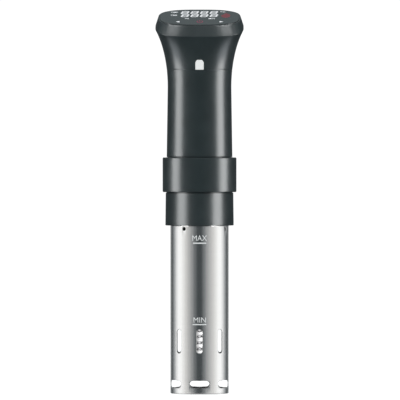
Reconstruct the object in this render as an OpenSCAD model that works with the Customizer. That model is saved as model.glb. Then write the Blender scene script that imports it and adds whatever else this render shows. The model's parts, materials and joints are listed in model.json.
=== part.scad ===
// Sous vide immersion circulator: a tapered hand grip with a slanted touch
// display on top, a clamp ring with a spring clip at the back, and a slotted
// stainless tube that holds the heater, the sensors and the impeller.
// Millimetres. +Z is up the tube, -Y is the display side, and the origin is
// the centre of the flat underside of the bottom cap.

/* [Tube] */
// Outer radius of the stainless tube
tube_r = 28.7; // [28.5:0.1:28.7]
// Wall thickness of the tube
tube_wall = 0.8; // [0.7:0.05:0.9]
// Width of a low intake slot
intake_w = 20.6; // [18:0.2:21]
// Height of a low intake slot
intake_h = 7.6; // [6.6:0.2:7.8]
// Number of intake slots
intake_count = 6; // [4:1:6]
// Width of an upright outlet slot
outlet_w = 6.4; // [5.6:0.2:6.6]
// Height of an upright outlet slot
outlet_h = 24; // [20:1:25]
// Number of outlet slots
outlet_count = 8; // [6:1:8]
// Radius of the vent holes under the collar
vent_r = 2; // [1.5:0.1:2.1]

/* [Body] */
// Height where the tube enters the collar
z_collar = 165.5; // [165:0.1:166]
// Radius of the collar at its lower edge
collar_r = 33.45; // [33.2:0.05:33.6]
// Radius of the grip at its waist
waist_r = 31.1; // [31:0.05:31.2]
// Radius of the grip just above the clamp ring
grip_r = 32.1; // [31.8:0.05:32.3]
// Thickness of the moulded walls
wall = 2.4; // [2.3:0.05:2.5]

/* [Head] */
// Half width of the head at its widest edge
head_a = 43.4; // [42.8:0.1:43.8]
// Half depth of the head at its widest edge
head_b = 38.2; // [37.8:0.1:38.6]
// Slant of the widest edge
head_tilt = 14.1; // [13.6:0.1:14.4]
// Half width of the top face
top_a = 40.2; // [39.8:0.1:40.4]
// Half depth of the top face
top_b = 33.5; // [33.2:0.1:33.7]
// Slant of the top face
top_tilt = 12.6; // [12.2:0.1:12.9]

/* [Clamp] */
// Outer radius of the clamp ring
ring_r = 36.2; // [36:0.1:36.5]
// Corner radius of the clamp ring
ring_round = 1.2; // [0.8:0.1:1.4]
// Half width of the clip bracket
clip_w = 16; // [15.5:0.5:16]

/* [Heater] */
// Radius of the coil's centre line
coil_r = 14.2; // [14:0.1:14.3]
// Radius of the heater rod
rod_r = 2.5; // [2.3:0.1:2.5]
// Rise of the coil in one turn
coil_pitch = 6.2; // [6:0.1:6.3]

/* [Hidden] */

// Heights of the joins between the pieces
z_tube_top = 189.8;
z_ring0 = 198.2;
z_ring1 = 232.4;
z_seam = 317.4;
z_waist = 300;
z_head = 359.8;
z_top = 369.7;
seat_r = 31.4;
seam_r = 31.9;
head_n = 3.2;
top_n = 2.6;
flare_k = 2.25;
// Hinge of the clip
hinge_y = 50;
hinge_z = 216;
around = 64;

// ---- small helpers -------------------------------------------------------
function unit(v) = v / norm(v);
function super_r(a, b, n, t) =
    1 / pow(pow(abs(cos(t)) / a, n) + pow(abs(sin(t)) / b, n), 1 / n);
function super_xy(a, b, n, count) =
    [for (i = [0:count - 1]) let (t = 360 * i / count)
        super_r(a, b, n, t) * [cos(t), sin(t)]];

// Faces of a skin through rings of m points each, closed at both ends
function skin_faces(rings, m) = concat(
    [[for (k = [0:m - 1]) k]],
    [for (i = [0:rings - 2]) for (k = [0:m - 1])
        let (a = i * m + k, b = i * m + (k + 1) % m)
        each [[a, a + m, b + m], [a, b + m, b]]],
    [[for (k = [m - 1:-1:0]) (rings - 1) * m + k]]);
module skin(rings) {
    m = len(rings[0]);
    polyhedron([for (ring = rings) each ring], skin_faces(len(rings), m));
}

// A round rod swept along a path
function tangents(p) = [for (i = [0:len(p) - 1])
    unit(p[min(i + 1, len(p) - 1)] - p[max(i - 1, 0)])];
function carried(t, n0) = [for (i = 0, n = unit(n0 - (n0 * t[0]) * t[0]);
    i < len(t);
    i = i + 1, n = i < len(t) ? unit(n - (n * t[i]) * t[i]) : n) n];
module rod(p, r, sides = 8, n0 = [1, 0, 0.01]) {
    t = tangents(p);
    n = carried(t, n0);
    skin([for (i = [0:len(p) - 1]) [for (k = [0:sides - 1])
        let (a = 360 * k / sides)
        p[i] + r * (cos(a) * n[i] + sin(a) * cross(t[i], n[i]))]]);
}
// A smooth line through hand-set points
function spline(p, steps) = concat([for (i = [0:len(p) - 2])
    let (a = p[max(i - 1, 0)], b = p[i], c = p[i + 1],
         d = p[min(i + 2, len(p) - 1)])
    for (s = [0:steps - 1]) let (u = s / steps)
        0.5 * (2 * b + (c - a) * u + (2 * a - 5 * b + 4 * c - d) * u * u
            + (3 * b - a - 3 * c + d) * u * u * u)], [p[len(p) - 1]]);

module tube(r1, r2, z1, z2, fn = 72) {
    difference() {
        translate([0, 0, z1]) cylinder(r = r2, h = z2 - z1, $fn = fn);
        translate([0, 0, z1 - 1]) cylinder(r = r1, h = z2 - z1 + 2, $fn = fn);
    }
}
// Slot with round ends, cut outwards along -Y, its middle at height z
module slot_cut(w, h, z, reach) {
    r = min(w, h) / 2;
    translate([0, -reach + 6, z]) rotate([90, 0, 0]) linear_extrude(12) {
        if (w > h) {
            square([w - h, h], center = true);
            for (s = [-1, 1]) translate([s * (w - h) / 2, 0]) circle(r, $fn = 48);
        } else {
            square([w, h - w], center = true);
            for (s = [-1, 1]) translate([0, s * (h - w) / 2]) circle(r, $fn = 48);
        }
    }
}
// Places things in the plane of the slanted top face
module on_top(z = 0) {
    translate([0, 0, z_top]) rotate([top_tilt, 0, 0]) translate([0, 0, z])
        children();
}
module top_plate(a, b, z, h) {
    on_top(z) linear_extrude(h) polygon(super_xy(a, b / cos(top_tilt), top_n, 96));
}

// ---- the head's skin -----------------------------------------------------
function flare_at(z) = waist_r + (head_a - waist_r)
    * pow(max(0, z - z_waist) / (z_head - z_waist), flare_k);
// Ring of the flare: v runs from the seam, 0, to the widest edge, 1
function flare_ring(v, off) = [for (i = [0:around - 1])
    let (t = 360 * i / around,
         rc = super_r(head_a, head_b, head_n, t),
         zc = z_head + rc * sin(t) * tan(head_tilt),
         rr = flare_at(z_seam + v * (z_head - z_seam)),
         w = (rr - seam_r) / (head_a - seam_r),
         r = seam_r + (rc - seam_r) * w + off)
    [r * cos(t), r * sin(t), z_seam + v * (zc - z_seam)]];
// Ring of the facet above it: s runs from the widest edge, 0, to the top, 1
function facet_ring(s, off) = [for (i = [0:around - 1])
    let (t = 360 * i / around,
         rc = super_r(head_a, head_b, head_n, t),
         rt = super_r(top_a, top_b, top_n, t),
         zc = z_head + rc * sin(t) * tan(head_tilt),
         zt = z_top + rt * sin(t) * tan(top_tilt),
         r = rc + (rt - rc) * s + off)
    [r * cos(t), r * sin(t), zc + (zt - zc) * s]];
// Ring in a plane parallel to the top face, drop below it
function plane_ring(inset, drop) = [for (i = [0:around - 1])
    let (t = 360 * i / around, r = super_r(top_a, top_b, top_n, t) - inset)
    [r * cos(t), r * sin(t), z_top - drop + r * sin(t) * tan(top_tilt)]];
function disc_ring(r, z) = [for (i = [0:around - 1])
    let (t = 360 * i / around) [r * cos(t), r * sin(t), z]];

module head_skin() skin(concat(
    [disc_ring(seam_r - 0.3, z_seam + 0.15), disc_ring(seam_r, z_seam + 0.45)],
    [for (v = [0.1:0.1:0.91]) flare_ring(v, 0)],
    [flare_ring(0.985, 0), facet_ring(0.04, 0), facet_ring(0.93, 0),
     plane_ring(0.75, 0)]));
module head_hollow() skin(concat(
    [disc_ring(seam_r - wall, z_seam - 2)],
    [for (v = [0.05, 0.35, 0.65, 0.9]) flare_ring(v, -wall)],
    [flare_ring(1, -wall - 0.3), plane_ring(3.4, 5.2)]));

// ---- housing -------------------------------------------------------------
module arch(w, h, r) {
    translate([-w / 2, 0]) square([w, h - r]);
    translate([-w / 2 + r, 0]) square([w - 2 * r, h]);
    for (s = [-1, 1]) translate([s * (w / 2 - r), h - r]) circle(r, $fn = 48);
}
module window_prism(grow, down) {
    translate([0, -26, z_seam + 0.15 - down]) rotate([90, 0, 0])
        linear_extrude(14) arch(8.8 + 2 * grow, 10.8 + grow + down, 3.6 + grow);
}
board_posts = [[26.5, 14], [-26.5, 14], [26.5, -14], [-26.5, -14]];
touch_x = [-21, 0, 21];
joint_angles = [90, 210, 330];

module upper_housing() {
    color([0.05, 0.06, 0.065]) difference() {
        union() {
            difference() {
                head_skin();
                head_hollow();
            }
            // posts for the display board
            for (p = board_posts) on_top(-12) translate([p[0], p[1], 0])
                cylinder(r = 3, h = 8, $fn = 32);
            // bosses for the housing screws
            for (a = joint_angles) rotate([0, 0, a])
                translate([25.2, 0, z_seam + 4.6]) cylinder(r = 5.4, h = 15, $fn = 32);
            // boss for the cord gland
            translate([0, 37.5, 350]) rotate([90, 0, 0]) cylinder(r = 9.5, h = 6.3, $fn = 48);
        }
        top_plate(top_a - 1.3, top_b - 1.3, -2.6, 6);
        on_top(-9) translate([-21.2, -2.2, 0]) cube([42.4, 26, 9]);
        for (x = touch_x) on_top(-9) translate([x, -17, 0]) cylinder(r = 4, h = 9, $fn = 32);
        window_prism(0.1, 1);
        for (p = board_posts) on_top(-13) translate([p[0], p[1], 0])
            cylinder(r = 1.1, h = 8, $fn = 24);
        for (a = joint_angles) rotate([0, 0, a])
            translate([25.2, 0, z_seam + 3]) cylinder(r = 1.35, h = 14, $fn = 24);
        translate([0, 42, 350]) rotate([90, 0, 0]) cylinder(r = 6.05, h = 14, $fn = 48);
    }
}

function grip_out(z) = z > z_waist ? flare_at(z)
    : waist_r + (grip_r - waist_r) * pow((z_waist - z) / (z_waist - 232.1), 1.05);
module grip_housing() {
    zs = [for (i = [0:11]) 232.1 + (316.9 - 232.1) * i / 11];
    color([0.05, 0.06, 0.065]) difference() {
        union() {
            rotate_extrude($fn = 128) polygon(concat(
                [[29, 198.05], [seat_r, 198.05], [seat_r, 232.1]],
                [for (z = zs) [grip_out(z), z]],
                [[seam_r - 0.25, 317.2], [29.3, 317.2], [29.3, 320.6],
                 [27.6, 320.6], [27.6, 312], [28.6, 308], [28.6, 240],
                 [29, 236]]));
            // ears for the housing screws
            intersection() {
                for (a = joint_angles) rotate([0, 0, a])
                    translate([25.2, 0, 310]) cylinder(r = 4.2, h = 11.8, $fn = 32);
                cylinder(r = 29.2, h = 400, $fn = 64);
            }
            // guides that hold the power board
            intersection() {
                for (s = [-1, 1]) for (y = [1.4, 5.8])
                    translate([s > 0 ? 19.5 : -29.5, y, 264]) cube([10, 2.4, 42]);
                cylinder(r = 28.8, h = 400, $fn = 64);
            }
        }
        for (a = joint_angles) rotate([0, 0, a])
            translate([25.2, 0, 300]) cylinder(r = 1.7, h = 30, $fn = 24);
        // notch in the tongue behind the status window
        translate([-7, -34, 317.2]) cube([14, 10, 8]);
    }
}

module base_collar() {
    color([0.05, 0.06, 0.065]) difference() {
        union() {
            rotate_extrude($fn = 128) polygon([
                [28.5, z_collar], [collar_r - 0.3, z_collar],
                [collar_r, z_collar + 0.3], [33.15, 197.6], [32.9, 197.9],
                [28.9, 197.9], [28.9, 206], [26, 206], [26, 190], [28.5, 190]]);
            for (a = [30, 150, 270]) rotate([0, 0, a]) intersection() {
                translate([24.2, 0, 190]) cylinder(r = 3.6, h = 16, $fn = 32);
                translate([0, 0, 190]) cylinder(r = 28.4, h = 16, $fn = 64);
            }
        }
        tube(20, 30.9, 171.3, 174.7);
        for (a = [30, 150, 270]) rotate([0, 0, a])
            translate([24.2, 0, 194]) cylinder(r = 1.35, h = 20, $fn = 24);
    }
}

module display_panel() {
    color([0.16, 0.19, 0.2]) top_plate(top_a - 1.45, top_b - 1.45, -2.1, 2.02);
}
module panel_gasket() {
    color([0.1, 0.1, 0.1]) difference() {
        top_plate(top_a - 1.6, top_b - 1.6, -2.57, 0.43);
        top_plate(34.6, 28.2, -3, 1.5);
    }
}
module display_board() {
    color([0.05, 0.3, 0.15]) difference() {
        top_plate(32, 23.5, -13.7, 1.6);
        for (p = board_posts) on_top(-15) translate([p[0], p[1], 0])
            cylinder(r = 1.3, h = 4, $fn = 24);
    }
}
module segment_display() {
    color([0.08, 0.08, 0.09]) difference() {
        on_top(-12.05) translate([-20.5, -1.5, 0]) cube([41, 24.5, 8.6]);
        // light wells behind the two rows of digits
        for (i = [-1.5:1:1.5]) for (y = [0.6, 12.2])
            on_top(-6) translate([i * 9.4 - 3.8, y, 0]) cube([7.6, 9.6, 4]);
    }
}
module touch_springs() {
    color([0.8, 0.8, 0.8]) for (x = [-21, 0, 21]) on_top(-12.05)
        translate([x, -17, 0]) {
            cylinder(r = 3.2, h = 1.4, $fn = 32);
            translate([0, 0, 1.4]) difference() {
                cylinder(r = 2.6, h = 8.4, $fn = 32);
                translate([0, 0, 0.4]) cylinder(r = 1.9, h = 9, $fn = 32);
            }
        }
}
module board_screws() {
    color([0.75, 0.75, 0.77]) for (p = board_posts)
        on_top(0) translate([p[0], p[1], 0]) {
            translate([0, 0, -15.3]) cylinder(r = 2.3, h = 1.5, $fn = 32);
            translate([0, 0, -14]) cylinder(r = 1.05, h = 7.5, $fn = 24);
        }
}
module status_window() {
    color([0.86, 0.86, 0.85]) difference() {
        intersection() {
            window_prism(0, 0);
            skin(concat([disc_ring(seam_r + 0.1, z_seam - 1)],
                [for (v = [0.05:0.1:0.46]) flare_ring(v, 0.1)]));
        }
        skin(concat([disc_ring(seam_r - 2, z_seam - 2)],
            [for (v = [0.05, 0.25, 0.5]) flare_ring(v, -2)]));
    }
}
module light_guide() {
    // clear bar that carries the light from the board to the window
    color([0.85, 0.88, 0.88]) difference() {
        translate([-3, -29.3, 319]) cube([6, 33.1, 6]);
        translate([-1.8, 2.2, 320]) cube([3.6, 5, 4]);
    }
}
module status_led() {
    color([0.9, 0.9, 0.85]) translate([-1.5, 2.6, 320.5]) cube([3, 1.3, 3]);
}

module cord_gland() {
    color([0.06, 0.06, 0.065]) translate([0, 0, 350]) rotate([-90, 0, 0])
        difference() {
            union() {
                translate([0, 0, 26]) cylinder(r = 6, h = 12, $fn = 64);
                translate([0, 0, 37.6]) cylinder(r = 8.2, h = 1.4, $fn = 64);
                translate([0, 0, 39]) cylinder(r1 = 8.2, r2 = 7.2, h = 1, $fn = 64);
            }
            translate([0, 0, 20]) cylinder(r = 3.6, h = 30, $fn = 64);
        }
}
module gland_nut() {
    color([0.1, 0.1, 0.1]) translate([0, 0, 350]) rotate([-90, 0, 0])
        difference() {
            translate([0, 0, 27]) cylinder(r = 9, h = 4, $fn = 6);
            translate([0, 0, 20]) cylinder(r = 6.05, h = 20, $fn = 64);
        }
}
module housing_screws() {
    color([0.75, 0.75, 0.77]) for (a = joint_angles) rotate([0, 0, a])
        translate([25.2, 0, 0]) {
            translate([0, 0, 307.85]) cylinder(r = 2.35, h = 2.1, $fn = 32);
            translate([0, 0, 309.8]) cylinder(r = 1.3, h = 22, $fn = 24);
        }
}

// ---- electronics in the grip ----------------------------------------------
module power_board() {
    color([0.05, 0.3, 0.15]) translate([-22, 4, 266]) cube([44, 1.6, 60]);
}
module relay() {
    color([0.1, 0.2, 0.5]) translate([-4, 5.7, 270]) cube([19, 14, 15]);
}
module transformer() {
    color([0.8, 0.65, 0.2]) {
        translate([-9, -12, 272]) cube([18, 15.9, 8]);
        translate([-6, -10, 268.5]) cube([12, 13.9, 15]);
    }
}
module filter_capacitor() {
    color([0.1, 0.1, 0.35]) translate([11, 3.9, 300]) rotate([90, 0, 0])
        cylinder(r = 6.3, h = 18, $fn = 48);
}
module triac_heatsink() {
    color([0.7, 0.7, 0.72]) {
        translate([-18, 0.9, 288]) cube([20, 3, 18]);
        for (x = [-18, -13.7, -9.4, -5.1, -0.8])
            translate([x, -12, 288]) cube([1.6, 13, 18]);
    }
}
module ribbon_cable() {
    // flat cable from the top of the power board to the display board
    color([0.75, 0.75, 0.76]) translate([-7, 0, 0]) rotate([90, 0, 90])
        linear_extrude(14) polygon([[5.7, 314], [6.7, 314], [6.7, 333.4],
            [-7.6, 349.9], [-7.6, 353.5], [-8.6, 353.3], [-8.6, 349.5],
            [5.7, 333]]);
}
module heater_leads() {
    color([0.75, 0.1, 0.08]) {
        rod(spline([[-19, -8.5, 196.8], [-19.6, -8.5, 202], [-22, -8.5, 209],
            [-23, -8.5, 222], [-23, -8.5, 246], [-22.4, -6, 262],
            [-17, -2.4, 272], [-15.5, -0.4, 278], [-15.5, 2.8, 279.6]], 3), 1.1);
        rod(spline([[-7.5, 11.2, 197.2], [-9, 13.5, 201.4], [-13.5, 18.4, 208],
            [-14.5, 18.8, 222], [-14.5, 18.8, 246], [-14.5, 17, 262],
            [-14, 12.6, 272], [-13, 10.2, 278], [-13, 6.9, 279.6]], 3), 1.1);
    }
}
module motor_leads() {
    color([0.1, 0.1, 0.1]) for (s = [-1, 1])
        rod(spline([[18.2, s * 3, 238], [20.5, s * 3.2, 239.5],
            [23.6, s * 3.6, 244], [24, s * 4, 252], [23.2, s * 3.6, 257.5],
            [17.4, s * 1.4 - 3.6, 264], [14 + s * 1.4, -3, 270],
            [14 + s * 1.4, -0.6, 275.4], [14 + s * 1.4, 3, 277]], 3), 0.9);
}

// ---- motor ----------------------------------------------------------------
module motor_bracket() {
    color([0.72, 0.73, 0.75]) difference() {
        translate([0, 0, 206.1]) cylinder(r = 28.6, h = 2.4, $fn = 96);
        translate([0, 0, 200]) cylinder(r = 7.5, h = 20, $fn = 48);
        for (a = [30, 150, 270]) rotate([0, 0, a])
            translate([24.2, 0, 200]) cylinder(r = 1.6, h = 20, $fn = 24);
        for (x = [-12, 12]) translate([x, 0, 200]) cylinder(r = 1.6, h = 20, $fn = 24);
        // holes for the tie rods and for the leads
        for (a = [60, 180, 300]) rotate([0, 0, a])
            translate([21, 0, 200]) cylinder(r = 1.6, h = 20, $fn = 24);
        translate([-21.6, -8.5, 200]) cylinder(r = 3.4, h = 20, $fn = 32);
        translate([-13, 17.6, 200]) cylinder(r = 3.4, h = 20, $fn = 32);
    }
}
module bracket_screws() {
    color([0.75, 0.75, 0.77]) {
        for (a = [30, 150, 270]) rotate([0, 0, a]) translate([24.2, 0, 0]) {
            translate([0, 0, 208.55]) cylinder(r = 2.6, h = 1.8, $fn = 32);
            translate([0, 0, 197]) cylinder(r = 1.3, h = 12, $fn = 24);
        }
        for (x = [-12, 12]) translate([x, 0, 0]) {
            translate([0, 0, 204.4]) cylinder(r = 2.6, h = 1.65, $fn = 32);
            translate([0, 0, 205]) cylinder(r = 1.3, h = 5.6, $fn = 24);
        }
    }
}
module motor_can() {
    color([0.6, 0.61, 0.63]) difference() {
        union() {
            tube(16.4, 17.6, 208.6, 243);
            tube(4.52, 17, 208.6, 210.8);
        }
        for (x = [-12, 12]) translate([x, 0, 205]) cylinder(r = 1.35, h = 10, $fn = 24);
    }
}
module motor_end_cap() {
    color([0.15, 0.15, 0.15]) {
        tube(4.52, 17.6, 243.02, 245.4);
        tube(15.2, 16.36, 240, 243.1);
        tube(4.52, 6.6, 241.4, 243.1);
    }
}
module motor_magnets() {
    color([0.2, 0.2, 0.21]) for (a = [0, 180]) rotate([0, 0, a])
        intersection() {
            tube(13.6, 16.3, 215, 238);
            translate([0, -12.5, 200]) cube([20, 25, 60]);
        }
}
module motor_bushes() {
    color([0.72, 0.55, 0.3]) {
        tube(2.04, 4.5, 208.7, 213);
        tube(2.04, 4.5, 241.5, 245.3);
    }
}
module tie_rods() {
    color([0.75, 0.75, 0.77]) for (a = [60, 180, 300]) rotate([0, 0, a])
        translate([21, 0, 0]) {
            translate([0, 0, 171.05]) cylinder(r = 2.6, h = 35, $fn = 6);
            translate([0, 0, 206]) cylinder(r = 1.5, h = 4.6, $fn = 24);
            translate([0, 0, 208.6]) cylinder(r = 2.6, h = 2, $fn = 6);
        }
}

// ---- rotor ----------------------------------------------------------------
module motor_shaft() {
    color([0.8, 0.8, 0.82]) translate([0, 0, 195]) cylinder(r = 2, h = 66, $fn = 48);
}
module motor_rotor() {
    color([0.5, 0.3, 0.2]) difference() {
        union() {
            translate([0, 0, 216]) cylinder(r = 8, h = 21.4, $fn = 48);
            for (a = [0:51.4286:359]) rotate([0, 0, a])
                translate([0, -2.2, 217]) cube([10.5, 4.4, 19]);
            difference() {
                tube(9.6, 12.9, 217, 236);
                for (a = [25.7143:51.4286:359]) rotate([0, 0, a])
                    translate([8, -0.9, 210]) cube([8, 1.8, 40]);
            }
            translate([0, 0, 237]) cylinder(r = 4, h = 3.2, $fn = 48);
        }
        translate([0, 0, 200]) cylinder(r = 2.02, h = 60, $fn = 48);
    }
}
module cooling_fan() {
    color([0.12, 0.12, 0.13]) difference() {
        union() {
            translate([0, 0, 251]) cylinder(r = 5.4, h = 9, $fn = 48);
            intersection() {
                for (a = [0:51.4286:359]) rotate([0, 0, a])
                    translate([3, 0, 255.5]) rotate([34, 0, 0])
                        translate([0, -6, -0.7]) cube([20, 12, 1.4]);
                translate([0, 0, 250]) cylinder(r = 20.6, h = 12, $fn = 64);
            }
        }
        translate([0, 0, 240]) cylinder(r = 2.02, h = 30, $fn = 48);
    }
}
module shaft_coupling() {
    color([0.75, 0.75, 0.77]) difference() {
        translate([0, 0, 186]) cylinder(r = 6, h = 17, $fn = 48);
        translate([0, 0, 180]) cylinder(r = 3.02, h = 14.8, $fn = 48);
        translate([0, 0, 190]) cylinder(r = 2.02, h = 20, $fn = 48);
    }
}
module drive_shaft() {
    color([0.8, 0.8, 0.82]) translate([0, 0, 12.4]) cylinder(r = 3, h = 182, $fn = 48);
}
module impeller() {
    color([0.78, 0.79, 0.8]) difference() {
        union() {
            translate([0, 0, 18.8]) cylinder(r = 6, h = 14.6, $fn = 48);
            intersection() {
                for (a = [0, 120, 240]) rotate([0, 0, a])
                    translate([3, 0, 26.1]) rotate([32, 0, 0])
                        translate([0, -10.5, -0.8]) cube([22, 21, 1.6]);
                translate([0, 0, 19]) cylinder(r = 22, h = 14.2, $fn = 64);
            }
        }
        translate([0, 0, 10]) cylinder(r = 3.02, h = 30, $fn = 48);
    }
}
module impeller_nut() {
    color([0.75, 0.75, 0.77]) difference() {
        translate([0, 0, 14.1]) cylinder(r = 5.4, h = 4.6, $fn = 6);
        translate([0, 0, 10]) cylinder(r = 3.02, h = 10, $fn = 48);
    }
}

// ---- tube and what it holds ------------------------------------------------
module outer_tube() {
    color([0.75, 0.75, 0.76]) difference() {
        union() {
            tube(tube_r - tube_wall, tube_r, 1.25, z_collar - 0.1, 128);
            // necked end inside the collar
            tube(tube_r - tube_wall, 28.4, z_collar - 0.2, z_tube_top, 128);
        }
        for (i = [0:intake_count - 1]) rotate([0, 0, i * 360 / intake_count])
            slot_cut(intake_w, intake_h, 9.8, tube_r);
        for (i = [0:outlet_count - 1]) rotate([0, 0, i * 360 / outlet_count])
            slot_cut(outlet_w, outlet_h, 51.8, tube_r);
        for (a = [-32, 62, 148, 242]) rotate([0, 0, a])
            translate([0, -tube_r + 5, 162]) rotate([90, 0, 0])
                cylinder(r = vent_r, h = 10, $fn = 32);
    }
}
module bottom_cap() {
    color([0.75, 0.75, 0.76]) rotate_extrude($fn = 128) polygon(concat([[0, 0]],
        [for (a = [0:15:90]) [tube_r - 1.2 + 1.2 * sin(a), 1.2 - 1.2 * cos(a)]],
        [[27.84, 1.2], [27.84, 4.6], [26.9, 4.6], [26.9, 1.4], [0, 1.4]]));
}
module tube_seal() {
    color([0.7, 0.2, 0.15]) rotate_extrude($fn = 96) translate([29.66, 173])
        circle(r = 1.15, $fn = 32);
}
module heater_flange() {
    color([0.72, 0.73, 0.75]) difference() {
        union() {
            translate([0, 0, 168]) cylinder(r = 27.85, h = 3, $fn = 96);
            tube(26.6, 27.85, 168, 177);
            translate([0, 0, 168]) cylinder(r = 9, h = 16, $fn = 48);
        }
        translate([0, 0, 160]) cylinder(r = 7, h = 14, $fn = 48);
        translate([0, 0, 160]) cylinder(r = 3.6, h = 40, $fn = 48);
        translate([0, 0, 176]) cylinder(r = 6, h = 20, $fn = 48);
        for (p = [[-19, -8.5], [-7.5, 11.2]]) translate([p[0], p[1], 160])
            cylinder(r = rod_r + 0.1, h = 20, $fn = 32);
        translate([10.5, -10.5, 160]) cylinder(r = 2.3, h = 20, $fn = 32);
        for (y = [-6, 6]) translate([20, y, 160]) cylinder(r = 3.25, h = 20, $fn = 32);
    }
}
module shaft_seal() {
    color([0.15, 0.15, 0.15]) tube(3.05, 6.95, 168.2, 173.8);
}
module shaft_bearing() {
    color([0.72, 0.55, 0.3]) tube(3.04, 5.98, 176.05, 183.8);
}
module heater_coil() {
    turns = 4;
    helix = [for (i = [0:turns * 20]) let (a = 180 + i * 18)
        [coil_r * cos(a), coil_r * sin(a), 41 + coil_pitch * (a - 270) / 360]];
    up = [[-14.6, -3.2, 65.3], [-15.7, -6, 67.8], [-17.2, -7.7, 71.6],
        [-18.5, -8.4, 76], [-19, -8.5, 81], [-19, -8.5, 110], [-19, -8.5, 185]];
    // the return leg steps out round the coil and comes in under it
    down = [[-7.5, 11.2, 185], [-7.5, 11.2, 110], [-7.5, 11.2, 84],
        [-8.2, 11.9, 80.4], [-10.05, 13.7, 76.5], [-11.9, 15.5, 72.6],
        [-12.6, 16.2, 69], [-12.6, 16.2, 50], [-12.6, 16.2, 44.5],
        [-12.8, 15.2, 40.6], [-13.3, 12.3, 38.4], [-13.9, 8, 38.3], [-14.15, 4, 38.8]];
    color([0.8, 0.8, 0.8]) rod(concat(down, helix, up), rod_r, 10, [1, 0, 0]);
}
module heater_terminals() {
    color([0.85, 0.75, 0.45]) for (p = [[-19, -8.5], [-7.5, 11.2]])
        translate([p[0], p[1], 0]) {
            translate([0, 0, 185.1]) cylinder(r = 1.6, h = 3, $fn = 32);
            translate([-2, -0.4, 188]) cube([4, 0.8, 8.4]);
        }
}
module temperature_probe() {
    color([0.78, 0.78, 0.8]) translate([10.5, -10.5, 0]) {
        translate([0, 0, 72]) cylinder(r = 2.2, h = 104, $fn = 32);
        translate([0, 0, 171.1]) cylinder(r = 3.6, h = 3, $fn = 6);
        translate([0, 0, 72]) sphere(r = 2.2, $fn = 32);
    }
}
module level_probes() {
    color([0.78, 0.78, 0.8]) for (y = [-6, 6]) translate([20, y, 70])
        cylinder(r = 1.4, h = 112, $fn = 32);
}
module probe_insulators() {
    color([0.92, 0.92, 0.9]) for (y = [-6, 6]) translate([20, y, 0]) difference() {
        union() {
            translate([0, 0, 164.5]) cylinder(r = 3.2, h = 10, $fn = 32);
            translate([0, 0, 171.1]) cylinder(r = 4.4, h = 1.6, $fn = 32);
        }
        translate([0, 0, 160]) cylinder(r = 1.43, h = 20, $fn = 32);
    }
}

// ---- clamp ------------------------------------------------------------------
module clamp_ring() {
    r = ring_round;
    color([0.05, 0.06, 0.065]) difference() {
        union() {
            rotate_extrude($fn = 128) polygon(concat(
                [[33, z_ring0 + 0.4], [33.4, z_ring0]],
                [for (a = [0:18:90]) [ring_r - r + r * sin(a), z_ring0 + r - r * cos(a)]],
                [for (a = [0:18:90]) [ring_r - r + r * cos(a), z_ring1 - r + r * sin(a)]],
                [[33.4, z_ring1], [33, z_ring1 - 0.4]]));
            translate([-14, 33.5, 201]) cube([28, 6, 28.5]);
        }
        translate([0, 0, 190]) cylinder(r = 33, h = 50, $fn = 128);
        for (x = [-9, 9]) for (z = [206, 226]) translate([x, 45, z])
            rotate([90, 0, 0]) cylinder(r = 1.35, h = 11, $fn = 24);
    }
}
module ring_liner() {
    color([0.2, 0.2, 0.21]) tube(31.46, 32.96, 198.25, 231.75, 128);
}
module clip_bracket() {
    color([0.05, 0.06, 0.065]) difference() {
        union() {
            translate([-clip_w, 39.6, 150]) cube([2 * clip_w, 2.8, 80]);
            translate([-clip_w + 4, 39.6, 147]) cube([2 * clip_w - 8, 2.8, 4]);
            for (s = [-1, 1]) translate([s > 0 ? clip_w - 3.1 : -clip_w, 0, 0]) {
                translate([0, 42, 208.5]) cube([3.1, 8, 15]);
                translate([0, hinge_y, hinge_z]) rotate([0, 90, 0])
                    cylinder(r = 7.5, h = 3.1, $fn = 48);
            }
        }
        translate([-20, hinge_y, hinge_z]) rotate([0, 90, 0])
            cylinder(r = 2.03, h = 40, $fn = 48);
        for (x = [-9, 9]) for (z = [206, 226]) translate([x, 38, z])
            rotate([-90, 0, 0]) {
                cylinder(r = 1.6, h = 8, $fn = 24);
                translate([0, 0, 2.9]) cylinder(r = 2.8, h = 4, $fn = 32);
            }
    }
}
module clip_screws() {
    color([0.75, 0.75, 0.77]) for (x = [-9, 9]) for (z = [206, 226])
        translate([x, 0, z]) rotate([-90, 0, 0]) {
            translate([0, 0, 35]) cylinder(r = 1.3, h = 6.2, $fn = 24);
            translate([0, 0, 40.95]) cylinder(r = 2.6, h = 1.4, $fn = 32);
        }
}
module fixed_jaw_pad() {
    color([0.1, 0.1, 0.1]) {
        translate([-13, 42.4, 151]) cube([26, 1.2, 40]);
        for (z = [152.5:5:188]) translate([-13, 43.4, z]) cube([26, 0.9, 2.4]);
    }
}
module hinge_pin() {
    color([0.8, 0.8, 0.82]) translate([0, hinge_y, hinge_z]) rotate([0, 90, 0]) {
        translate([0, 0, -clip_w - 1.4]) cylinder(r = 3.2, h = 1.35, $fn = 48);
        translate([0, 0, -clip_w - 0.2]) cylinder(r = 2, h = 2 * clip_w + 0.4, $fn = 48);
        translate([0, 0, clip_w + 0.05]) cylinder(r = 3.2, h = 1.35, $fn = 48);
    }
}
module clip_spring() {
    // torsion spring: coil round the pin and the leg that rests on the bracket
    leg = [[-5.4, 43.1, 229], [-5.4, 43.4, 224], [-5.4, 45.3, 219.6]];
    coil = [for (i = [0:81]) let (a = 180 + i * 20)
        [-5.4 + 9 * i / 81, hinge_y + 3.7 * cos(a), hinge_z + 3.7 * sin(a)]];
    color([0.78, 0.78, 0.8]) rod(concat(leg, coil), 0.55, 8, [1, 0, 0.01]);
}
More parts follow.
